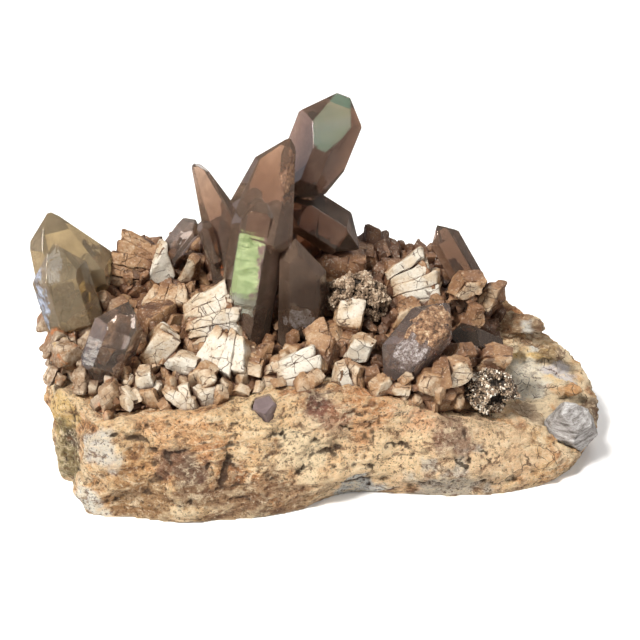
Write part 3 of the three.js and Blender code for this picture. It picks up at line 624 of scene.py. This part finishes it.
# Each block: its middle and size, how it is turned, tilted and rolled, how far it narrows to its top, and
# how tan it is. The domes have the same without the roll.
BLOCKS = (
    ((-53, 22, 56), (10, 8, 13), 10, 8, 0, 0.75, 0.0), ((-43, 20, 54), (7, 6, 9), -15, 0, 0, 0.5, 0.3),
    ((-53, -1, 47), (13, 9, 7), 35, 15, 0, 0.2, 0.6), ((-42, -22, 42), (12, 7, 5), -15, -8, 0, 0.3, 0.0),
    ((-54, -29, 39), (7, 7, 8), 15, 12, 0, 0.2, 0.1), ((0, -18, 43), (11, 9, 9), 60, 25, 0, 0.4, 0.55),
    ((7, -28, 40), (8, 6, 9), 20, 20, 0, 0.6, 0.0), ((13, -16, 44), (8, 7, 7), -10, -8, 0, 0.15, 0.1),
    ((24, 22, 50), (8, 8, 11), 20, 6, 0, 0.3, 0.6), ((28, 2, 47), (8, 8, 8), 10, 0, 0, 0.2, 0.4),
    ((48, 10, 52), (10, 8, 9), 12, -10, 0, 0.2, 0.42), ((57, 14, 47), (7, 8, 9), -20, -6, 0, 0.15, 0.42),
    ((50, 2, 45), (8, 7, 8), 30, 5, 0, 0.6, 0.5), ((19, -31, 38), (6.5, 5.5, 6), 35, 12, 0, 0, 0.2),
    ((25, -31, 37.5), (5.5, 4.5, 4), 0, 0, 0, 0, 0.25), ((33, -28, 38.5), (8, 6, 7), 15, -12, 0, 0.1, 0.35),
    ((42, -23, 39), (9, 7, 9), 20, -10, 0, 0.1, 0.25), ((55, -11, 36), (11, 9, 9), -8, -6, 0, 0.1, 0.4),
    ((-33, 27, 54), (12, 10, 9), 40, 10, 0, 0.3, 0.7), ((-66, 5, 46), (9, 8, 7), 25, 6, 0, 0.3, 0.5),
    ((-84, -9, 42), (7, 9, 9), 20, -10, 0, 0.4, 0.4), ((-88, 5, 45), (6, 11, 10), 5, -8, 0, 0.4, 0.5),
    ((-88, 24, 47), (8, 9, 9), -25, 8, 0, 0.4, 0.5), ((-80, -17, 41), (9, 8, 8), 40, 10, 0, 0.2, 0.4),
    ((-0.2, -9.4, 43.2), (8.5, 8.4, 8.4), 116, 30, -24, 0.08, 0.6),
    ((-1.4, 33.1, 53.8), (5.7, 3.7, 6.1), 48, -36, -35, 0.48, 0.8),
    ((-14.5, 23, 51.2), (5.9, 4.5, 6.8), 128, 24, -28, 0.09, 0.7),
    ((-20.6, 12.6, 48.6), (5.9, 4.8, 4.9), 43, 13, 28, 0.5, 0.8),
    ((-21, -21.4, 40.1), (8, 7.2, 7.1), 77, -32, -1, 0.17, 0.35),
    ((-21.8, 25.1, 51.8), (5.6, 5.2, 5.1), 41, -35, 25, 0.47, 0.7),
    ((-25, -0.1, 45.5), (8.7, 6.1, 9), 45, -17, -33, 0.01, 0.6),
    ((-26.8, -11.2, 42.7), (8.3, 6, 7.4), 106, 15, 6, 0.18, 0.5),
    ((-29, 41, 55.7), (7.4, 6.2, 8.1), 164, 27, -16, 0.14, 0.6),
    ((-3.5, 9.3, 47.8), (5.7, 3.9, 7.1), 49, -11, -1, 0.32, 0.7),
    ((-34.6, -29.5, 38.1), (8.3, 6.1, 9.9), 10, 17, 26, 0.47, 0.25),
    ((-40.2, 7.4, 47.4), (5.6, 4.6, 5.8), 150, 29, -14, 0.19, 0.6),
    ((-44, -35.3, 36.7), (7.2, 5.1, 7.7), 110, 6, -34, 0.38, 0.15),
    ((-58.2, 31.4, 53.4), (8.8, 8.3, 8.8), 70, 26, 9, 0.17, 0.7),
    ((-61.7, -23.7, 39.6), (5.7, 4.6, 5.3), 79, 7, -23, 0.13, 0.4),
    ((-64.4, -34.1, 37), (8.5, 8.4, 7.8), 6, 33, -6, 0.38, 0.3),
    ((-67.5, -13.4, 42.1), (6.6, 5.8, 5.6), 77, 1, 26, 0.04, 0.5),
    ((-7.9, 3.1, 46.3), (5.5, 4.3, 4.6), 180, -24, -3, 0.15, 0.7),
    ((-73.8, -27.4, 38.6), (6.3, 4.3, 7), 69, 4, -5, 0.13, 0.5),
    ((-75, -2.8, 44.8), (8, 7.7, 10), 103, 5, -32, 0.2, 0.6),
    ((-8.5, -14.8, 41.8), (5.5, 5.5, 4.6), 55, -2, -7, 0.21, 0.4),
    ((19.5, 7.9, 47.5), (6.7, 5.5, 8.1), 85, -8, -18, 0.12, 0.6),
    ((27.4, -15.9, 41.5), (6.2, 5.9, 7.3), 50, -15, 11, 0.05, 0.35),
    ((32.6, -4.9, 44.3), (7.6, 7.6, 6.3), 23, 31, 8, 0.21, 0.5),
    ((38.6, 5, 46.5), (7.1, 5.3, 8.8), 165, 16, -31, 0.14, 0.6),
    ((46.2, -13.4, 38.8), (5.7, 4.9, 5.8), 133, 12, -25, 0.33, 0.5),
    ((57.7, 23, 40.2), (6.8, 6, 8.1), 125, 31, -34, 0.16, 0.6),
    ((6.1, 31.6, 53.4), (6.2, 4.5, 5.4), 62, 36, 13, 0.27, 0.8),
)
DOMES = (((14, 33, 52), (22, 14, 9), -8, -6, 0.6, 0.75), ((6, 21, 55), (22, 13, 11), 0, -12, 0.3, 0.8))
# How far the ends of a crystal lean, and the way that its fresh face looks.
SHEAR = 0.28
TO_THE_FRONT = np.array((0.3, -0.8, 0.5))
chance = np.random.default_rng(5)


def rounded_cube(cuts, sharpness):
    """Points within -0.5 to 0.5 and faces of a cube with that many faces along its eased edges."""
    form = bmesh.new()
    bmesh.ops.create_cube(form, size=2)
    bmesh.ops.subdivide_edges(form, edges=form.edges[:], cuts=cuts - 1, use_grid_fill=True)
    points = np.array([v.co for v in form.verts])
    faces = np.array([[v.index for v in face.verts] for face in form.faces])
    form.free()
    return points * 0.5 * (np.abs(points) ** sharpness).sum(axis=1)[:, None] ** (-1 / sharpness), faces


def broken(points, count, depth=0.32):
    """The cube with a few of its corners and edges broken off flat, up to that share of its reach."""
    for _ in range(count):
        way = chance.normal(size=3)
        way /= np.linalg.norm(way)
        over = points @ way - 0.5 * np.abs(way).sum() * chance.uniform(1 - depth, 0.93)
        points = points - np.maximum(over, 0)[:, None] * way
    return points


def turned(turn, tilt, bank):
    """The rotation that rolls a crystal about its length, lifts its end and then turns it."""
    x, y, z = (math.radians(angle) for angle in (bank, -tilt, turn))
    about_x = np.array([[1, 0, 0], [0, math.cos(x), -math.sin(x)], [0, math.sin(x), math.cos(x)]])
    about_y = np.array([[math.cos(y), 0, math.sin(y)], [0, 1, 0], [-math.sin(y), 0, math.cos(y)]])
    about_z = np.array([[math.cos(z), -math.sin(z), 0], [math.sin(z), math.cos(z), 0], [0, 0, 1]])
    return about_z @ about_y @ about_x


def leaning(points, size, peak):
    """A block of that size whose ends lean, narrowed towards its top."""
    block = points * size
    block[:, 0] *= 1 - peak * (points[:, 2] + 0.5)
    block[:, 0] += SHEAR * block[:, 2]
    return block


def weathered(points, lie, tan, brown):
    """The tan of each point of a cube: the face turned most to the front is fresh, the others browner."""
    ways = np.vstack([lie.T, -lie.T])
    fresh = int((ways @ TO_THE_FRONT + chance.uniform(-0.2, 0.2, 6)).argmax())
    out = points[:, fresh % 3] * (1 if fresh < 3 else -1)
    return tan + brown * (1 - ease(out, 0.15, 0.48))


def sliced(place, thickness):
    """Numbers across a crystal that pass a half at each of its cleavage cracks."""
    borders = np.cumsum(chance.uniform(0.6, 1.5, 40)) * thickness
    return np.interp(place - place.min(), borders, np.arange(40) + chance.random())


class Gathering:
    """Crystals gathered into one mesh, with each vertex's tan and cleavage."""

    def __init__(self):
        self.points, self.faces, self.tan, self.cleavage, self.count = [], [], [], [], 0

    def add(self, points, faces, tan, cleavage):
        self.points.append(points)
        self.faces.append(faces + self.count)
        self.tan.append(tan)
        self.cleavage.append(cleavage)
        self.count += len(points)

    def piece(self, name):
        mesh = bpy.data.meshes.new(name)
        mesh.from_pydata(np.concatenate(self.points) * MM, [], np.concatenate(self.faces).tolist())
        mesh.update()
        keep_value(mesh, "tan", np.concatenate(self.tan))
        keep_value(mesh, "cleavage", np.concatenate(self.cleavage))
        keep_value(mesh, "bare", np.ones(self.count))
        keep_value(mesh, "clay", clay_share(points_of(mesh)))
        piece = bpy.data.objects.new(name, mesh)
        bpy.context.scene.collection.objects.link(piece)
        return piece


crystals = Gathering()
plate_points, plate_faces = rounded_cube(14, 11)
for at, size, plates, spread, turn, tilt, bank, tan in FANS:
    length, width, thickness = size
    pose = turned(turn, tilt, bank)
    for leaf in range(plates):
        step = leaf - (plates - 1) / 2
        shorter = (1 - 0.06 * abs(step)) * chance.uniform(0.92, 1.03)
        form = broken(plate_points, 2)
        plate = form * (length * shorter, width * shorter, 1)
        plate[:, 2] *= 0.82 * thickness + (plate[:, 0] + length / 2) * math.tan(math.radians(spread))
        plate[:, 0] += SHEAR * plate[:, 2] + length / 2 + chance.uniform(-0.5, 0.5)
        cracks = sliced(plate[:, 0], 8)
        plate = plate @ turned(chance.uniform(-3, 3), spread * step, 0).T
        plate += (-length / 2, 0, step * thickness * 0.7)
        shade = weathered(form, pose, tan + chance.uniform(-0.06, 0.08), 0.3)
        shade += 0.3 * ease(-form[:, 0], 0.1, 0.5)
        crystals.add(plate @ pose.T + at, plate_faces, shade, cracks)

block_points, block_faces = rounded_cube(12, 16)
for at, size, turn, tilt, bank, peak, tan in BLOCKS:
    form = broken(block_points, 9, 0.45)
    pose = turned(turn, tilt, bank)
    block = leaning(form, size, peak)
    cracks = sliced(block[:, int(chance.integers(3))], 2.6)
    crystals.add(block @ pose.T + at, block_faces, weathered(form, pose, tan, 0.3), cracks)

dome_points, dome_faces = rounded_cube(16, 3.4)
for at, size, turn, tilt, peak, tan in DOMES:
    dome = leaning(broken(dome_points, 4), size, peak)
    crystals.add(dome @ turned(turn, tilt, 0).T + at, dome_faces,
                 np.full(len(dome), tan), sliced(dome[:, 0], 6))

BEND = 0.8 * MM
SHARP_FROM = math.radians(32)


def cleave(piece):
    """Bends the crystals a little out of true and chips their faces."""
    places = points_of(piece.data)
    places += BEND * np.stack([smooth_noise(places, 7 * MM, seed) for seed in (44, 45, 46)], axis=1)
    set_points(piece.data, places)
    relief = (chips(places, 4 * MM, 41, 0.09) + chips(places, 1.8 * MM, 42, 0.09)
              + 0.07 * MM * rough_noise(places, 1.2 * MM, 43))
    set_points(piece.data, places + normals_of(piece.data) * relief[:, None])
    piece.data.shade_smooth()
    piece.data.set_sharp_from_angle(angle=SHARP_FROM)
    piece.data.materials.append(feldspar)
    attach(piece, "root")


cleave(crystals.piece("feldspar_crystals"))

# Small feldspar cubes fill the bed between the larger crystals, rounded and brown, with a few pale
# ones among them. Each is sunk into what it grew on.
CUBE_SPACING = 3.5 * MM
CUBE_TRIES = 9000
QUARTZ_GAP = 1.6 * MM
LEFT_END = -86 * MM

# Heights from the bed's level, then how far up the bed has to face for a cube to grow on it.
LOWEST_CUBE = -9 * MM
HIGHEST_CUBE = 1.5 * MM
RIM_TOP = -2.5 * MM
LEVEL_FACING = 0.25
RIM_FACING = -0.3
quartz_forms = [form_of(node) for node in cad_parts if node.startswith(("quartz", "mica"))]


def spots_on(node, count):
    """Random places on a node's surface and the way it faces there, spread evenly over its area."""
    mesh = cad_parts[node].data
    corners = points_of(mesh)[np.array([p.vertices for p in mesh.polygons])]
    across = np.cross(corners[:, 1] - corners[:, 0], corners[:, 2] - corners[:, 0])
    area = np.linalg.norm(across, axis=1)
    chosen = chance.choice(len(area), count, p=area / area.sum())
    share = chance.random((count, 2))
    share = np.where(share.sum(axis=1)[:, None] > 1, 1 - share, share)
    first, second, third = corners[chosen].transpose(1, 0, 2)
    spots = first + share[:, :1] * (second - first) + share[:, 1:] * (third - first)
    return spots, across[chosen] / area[chosen][:, None]


cubes = Gathering()
cube_points, cube_faces = rounded_cube(6, 14)
taken = []
for spot, normal in zip(*spots_on("feldspar_crust", CUBE_TRIES)):
    above = spot[2] - crust_level(spot[0], spot[1])
    on_rim = above < RIM_TOP
    steep = normal[2] < (RIM_FACING if on_rim else LEVEL_FACING)
    if steep or not LOWEST_CUBE < above < HIGHEST_CUBE or spot[0] < LEFT_END:
        continue
    if any(form.find_nearest(Vector(spot), QUARTZ_GAP)[0] is not None for form in quartz_forms):
        continue
    if taken and np.linalg.norm(np.array(taken) - spot, axis=1).min() < CUBE_SPACING:
        continue
    taken.append(spot)
    side = chance.uniform(3.2, 5.4 if on_rim else 6.4)
    form = broken(cube_points, 6, 0.4)
    size = (side, side * chance.uniform(0.55, 1), side * chance.uniform(0.7, 1.2))
    cube = leaning(form, size, chance.uniform(0, 0.4))
    lie = turned(chance.uniform(0, 180), chance.uniform(-32, 32), chance.uniform(-32, 32))
    # Browner towards the back and to the right: partly their own iron brown, partly painted shade that
    # darkens the right side as if it lay in shadow.
    tan = 0.3 + 0.45 * ease(spot[1], -30 * MM, -8 * MM) + 0.3 * ease(spot[0], 5 * MM, 20 * MM)
    tan += chance.uniform(-0.25, 0.15)
    cubes.add(cube @ lie.T + spot / MM + normal * 0.15 * side, cube_faces,
              weathered(form, lie, tan, 0.15), sliced(cube[:, 0], 2.5))
cleave(cubes.piece("feldspar_cubes"))

# The quartz points: clear smoky crystals, six-sided with steep tips, grown into the crust.
# Their solids stay; light passes through them and turns brown with the depth of stone it crosses.
QUARTZ_IOR = 1.544
WORN_EDGE = 0.45 * MM
SWELL = 0.03


def quartz_material(node, axis, density, tint, body, through, haze, lines, deep=None):
    """Quartz that soaks up light by density and tint, with fine growth lines across its axis. Where deep
    gives a place in metres and a reach, the stone's own colour is darker brown around that place."""
    material, shader = new_material(node + "_stone")
    shader.inputs["Transmission Weight"].default_value = through
    shader.inputs["IOR"].default_value = QUARTZ_IOR
    place = place_node(material)
    veil = noise_node(material, place, 6 * MM, 6, 0.65, 0.6)
    shade = ramp_node(material, veil, [
        (at, colour(*(share * np.array(body)))) for at, share in ((0.35, 0.86), (0.55, 1), (0.72, 1.1))])
    if deep:
        middle, reach = deep
        away = vector_node(material, "DISTANCE", place, middle)
        shade = tinted(material, shade, away, reach, 0.7 * reach, 0.7, (112, 84, 66))
    along = vector_node(material, "DOT_PRODUCT", place, Vector(axis).normalized())
    growth = add_node(material, "ShaderNodeTexNoise", {"W": along, "Scale": 1 / (1.6 * MM), "Detail": 4.0},
                      noise_dimensions="1D").outputs["Fac"]
    lined = range_node(material, noise_node(material, place, 9 * MM, 3), 0.42, 0.6)
    ripple = math_node(material, "MULTIPLY", growth, lined)
    swell = math_node(material, "MULTIPLY", noise_node(material, place, 8 * MM, 1, 0.5), SWELL / lines)
    etch = range_node(material, noise_node(material, place, 10 * MM, 6, 0.7), 0.5, 0.75, 0.02, haze)
    worn = add_node(material, "ShaderNodeBevel", {"Radius": WORN_EDGE}, samples=4).outputs["Normal"]
    set_look(material, shader, shade, etch, math_node(material, "ADD", ripple, swell), lines * MM, worn)
    smoke = add_node(material, "ShaderNodeVolumeAbsorption", {"Color": tint, "Density": density})
    output = material.node_tree.nodes["Material Output"]
    material.node_tree.links.new(smoke.outputs["Volume"], output.inputs["Volume"])
    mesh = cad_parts[node].data
    mesh.materials.clear()
    mesh.materials.append(material)


SMOKY = (0.41, 0.2, 0.02, 1)
OLIVE = (0.42, 0.33, 0.06, 1)
CLEAR = (0.42, 0.3, 0.24, 1)
# Each crystal: its node and the way it grew, how strongly and to what tint it soaks up light, its own
# colour, how much light goes through, its haze, and the height of its growth lines in millimetres.
QUARTZ = (
    ("quartz_main", (10, 6, 59), 280.0, SMOKY, (200, 167, 144), 0.86, 0.06, 0.005,
     (Vector((-2, -3, 50)) * MM, 15 * MM)),
    ("quartz_crown", (18, 0, 47), 290.0, SMOKY, (194, 167, 149), 0.9, 0.05, 0.005),
    ("quartz_blade", (-15, -0.5, 42), 200.0, SMOKY, (208, 180, 160), 0.86, 0.06, 0.01),
    ("quartz_right_point", (-14, 0, 25), 250.0, SMOKY, (190, 166, 150), 0.89, 0.04, 0.006),
    ("quartz_dark", (-16, -12, 14), 230.0, SMOKY, (176, 150, 130), 0.92, 0.05, 0.008),
    ("quartz_left_pair", (-6, 2, 44), 75.0, OLIVE, (206, 184, 150), 0.76, 0.1, 0.02),
    ("quartz_left_point", (12, 9, 30), 42.0, CLEAR, (228, 206, 188), 0.94, 0.03, 0.01),
    ("quartz_small_back", (12, 0, 16), 45.0, CLEAR, (216, 200, 190), 0.86, 0.08, 0.01),
    ("quartz_lying", (-21, -16, -21), 70.0, CLEAR, (200, 178, 168), 0.85, 0.12, 0.02),
    ("quartz_chunk", (7, 12, 9), 260.0, CLEAR, (186, 184, 180), 0.25, 0.5, 0.5),
    ("quartz_grain", (0, -10, 3), 220.0, CLEAR, (140, 122, 122), 0.4, 0.35, 0.15),
)
for values in QUARTZ:
    quartz_material(*values)

# Crusts on the quartz: clay and sparkling etched stone on the lying crystal, a chipped side on the left
# pair whose bluish white is a painted reflection, brown grains and a milky foot on the tall ones, and furrows
# on the broken grey chunk.
# Each is a thin patch grown or dried onto its crystal's faces.
COAT_FACE = 0.45 * MM
COAT_SINK = 0.05 * MM


def coat(node, name, zones, thick, seed, finish):
    """A thin crust on a crystal, thickest in the middle of its zones and broken towards their edges."""
    piece = fine_copy(node, name, COAT_FACE)
    places = points_of(piece.data)
    inside = [1 - np.linalg.norm((places / MM - middle) / reach, axis=1) for middle, reach in zones]
    cover = np.max(inside, axis=0) + 0.55 * rough_noise(places, 3.5 * MM, seed)
    lumps = 0.45 + 0.55 * np.abs(rough_noise(places, 1.6 * MM, seed + 5))
    lift = thick * MM * (ease(cover, 0, 0.5) * lumps) - COAT_SINK
    set_points(piece.data, places + normals_of(piece.data) * lift[:, None])
    form = bmesh.new()
    form.from_mesh(piece.data)
    form.verts.ensure_lookup_table()
    bmesh.ops.delete(form, geom=[form.verts[i] for i in np.flatnonzero(cover < 0)], context="VERTS")
    form.to_mesh(piece.data)
    form.free()
    piece.data.shade_smooth()
    piece.data.materials.append(finish)
    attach(piece, "root")


def coat_material(name, size, stops, rough, depth, stretch=(1, 1, 1)):
    """A mottled crust whose patches are about that size, from dark to pale by the stops."""
    material, shader = new_material(name)
    place = vector_node(material, "MULTIPLY", place_node(material), stretch)
    mottle = noise_node(material, place, size, 6, 0.75)
    fine = noise_node(material, place, 0.5 * MM, 4, 0.7)
    shade = ramp_node(material, mottle, [(at, colour(*seen)) for at, seen in stops])
    shade = tinted(material, shade, fine, 0.56, 0.68, 0.8, (66, 46, 32))
    set_look(material, shader, shade, range_node(material, fine, 0.3, 0.7, rough, 0.6 * rough), fine, depth)
    return material


clay = coat_material("tan_clay", 1.7 * MM, (
    (0.38, (56, 40, 30)), (0.46, (118, 84, 60)), (0.55, (164, 126, 92)), (0.64, (214, 194, 164))),
    0.9, 0.7 * MM)
sparkle = coat_material("etched_quartz", 0.9 * MM, (
    (0.38, (88, 76, 72)), (0.48, (134, 120, 114)), (0.58, (172, 162, 158)), (0.7, (226, 224, 226))),
    0.3, 0.8 * MM)
# Painted reflection: the pale bluish whites of the chipped side stand in for the sky mirrored in its broken
# faces, over the quartz's own grey and brown.
chipped_and_sheen = coat_material("chipped_quartz_sheen", 2.2 * MM, (
    (0.38, (92, 74, 54)), (0.47, (126, 122, 122)), (0.56, (152, 160, 178)), (0.68, (206, 214, 230))),
    0.25, 0.6 * MM)
brown_grains = coat_material("brown_grains", 1.2 * MM, (
    (0.38, (84, 58, 42)), (0.5, (128, 94, 70)), (0.6, (158, 122, 92)), (0.7, (204, 172, 138))),
    0.5, 0.5 * MM)
striated = coat_material("striated_quartz", 1.6 * MM, (
    (0.36, (84, 78, 74)), (0.46, (140, 134, 130)), (0.55, (176, 172, 170)), (0.68, (214, 212, 210))),
    0.5, 0.8 * MM, (0.3, 0.3, 1.2))
milky = coat_material("milky_quartz", 2.5 * MM, (
    (0.38, (72, 59, 50)), (0.5, (90, 80, 74)), (0.62, (116, 108, 106)), (0.74, (160, 156, 158))),
    0.4, 0.2 * MM)
coat("quartz_main", "milky_coat", (((-6.5, -7.6, 49.6), (6.5, 4, 3.6)),), 0.16, 111, milky)
coat("quartz_lying", "clay_coat", (((34.5, -22.5, 54), (7, 6, 6)), ((38, -17, 56), (4, 5, 4))),
     0.9, 61, clay)
coat("quartz_lying", "etched_coat", (((28, -27, 49), (6, 4, 7)),), 0.2, 71, sparkle)
coat("quartz_left_pair", "chipped_coat", (((-88.5, -4.5, 53), (3.6, 4.6, 12)),),
     0.3, 81, chipped_and_sheen)
coat("quartz_main", "grain_coat", (((-9.6, 1.5, 94), (3, 5, 8)),), 0.14, 91, brown_grains)
coat("quartz_chunk", "striated_coat", (((80, -19, 18), (22, 22, 22)),), 0.5, 101, striated)

# Two tufts of mica: fine scales that stand on edge in a coral-like ball, round a core painted dark as the
# shade inside the ball; the scales on the higher lumps are painted paler, as lit tops.
# Each ball is one mesh of many small six-sided scales, packed over the form of its solid.
mica, mica_shader = new_material("mica_scales")
mica_grain = noise_node(mica, place_node(mica), 0.7 * MM, 4, 0.65)
scale_colour = ramp_node(mica, kept_node(mica, "tan"), (
    (0.0, colour(40, 31, 23)), (0.3, colour(94, 75, 58)), (0.6, colour(160, 136, 112)),
    (0.85, colour(200, 184, 162)), (1.0, colour(228, 220, 206))))
scale_colour = tinted(mica, scale_colour, mica_grain, 0.5, 0.7, 0.5, (80, 60, 42))
mica_rough = range_node(mica, mica_grain, 0.3, 0.7, 0.8, 0.5)
set_look(mica, mica_shader, scale_colour, mica_rough, mica_grain, 0.1 * MM)

CORE_FACE = 0.7 * MM
CORE_SINK = 1.9 * MM
# How dark the core is: painted shade for the inside of the ball.
CORE_SHADE_TONE = 0.02
LUMP_SIZE = 3.4 * MM
LUMP_SEED = 51
# In millimetres, how high a lump stands and how deep its scales sit.
LUMP_RISE = 1.3
SCALE_SINK = 0.9
# Between the lumps, below this height, there are no scales, and the dark core shows there as painted shade.
GAP_BELOW = -0.25
HEXAGON = [(math.cos(math.radians(60 * k)), math.sin(math.radians(60 * k))) for k in range(6)]
SCALE_POINTS = np.array([(x, y, z) for z in (-0.5, 0.5) for x, y in HEXAGON])
SCALE_FACES = [[5, 4, 3, 2, 1, 0], [6, 7, 8, 9, 10, 11]]
SCALE_FACES += [[k, (k + 1) % 6, 6 + (k + 1) % 6, 6 + k] for k in range(6)]


def mica_tuft(node, name, scales, tone, spread):
    """A core a little smaller than the node's form, painted dark as the shade inside the tuft, covered with
    scales in lumps.
    """
    core = fine_copy(node, name, CORE_FACE)
    places = points_of(core.data)
    relief = LUMP_RISE * MM * rough_noise(places, LUMP_SIZE, LUMP_SEED) - CORE_SINK
    set_points(core.data, places + normals_of(core.data) * relief[:, None])
    points = [points_of(core.data) / MM]
    faces = [[list(p.vertices) for p in core.data.polygons]]
    tones = [np.full(len(places), CORE_SHADE_TONE)]
    count = len(places)
    spots, ways = spots_on(node, scales)
    for spot, normal, lump in zip(spots, ways, rough_noise(spots, LUMP_SIZE, LUMP_SEED)):
        if lump < GAP_BELOW:
            continue
        reach = chance.uniform(0.24, 0.5)
        lie = turned(chance.uniform(0, 360), chance.uniform(30, 150), chance.uniform(-90, 90))
        scale = SCALE_POINTS * (reach, reach * chance.uniform(0.6, 1), chance.uniform(0.25, 0.6))
        rise = LUMP_RISE * lump - SCALE_SINK + chance.uniform(-0.6, 0.3)
        points.append(scale @ lie.T + spot / MM + normal * rise)
        faces.append([[corner + count for corner in face] for face in SCALE_FACES])
        # Scales on higher lumps are paler: painted light on the lumps' tops, over each scale's own spread of
        # tone.
        tones.append(np.full(len(scale), np.clip(tone + 0.4 * lump + chance.normal(0, spread), 0, 1)))
        count += len(scale)
    mesh = bpy.data.meshes.new(name)
    mesh.from_pydata(np.concatenate(points) * MM, [], sum(faces, []))
    mesh.update()
    keep_value(mesh, "tan", np.concatenate(tones))
    core.data = mesh
    mesh.materials.append(mica)
    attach(core, "root")
    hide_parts(node)


mica_tuft("mica_tuft_centre", "mica_ball_centre", 8600, 0.43, 0.1)
mica_tuft("mica_tuft_right", "mica_ball_right", 6400, 0.36, 0.34)
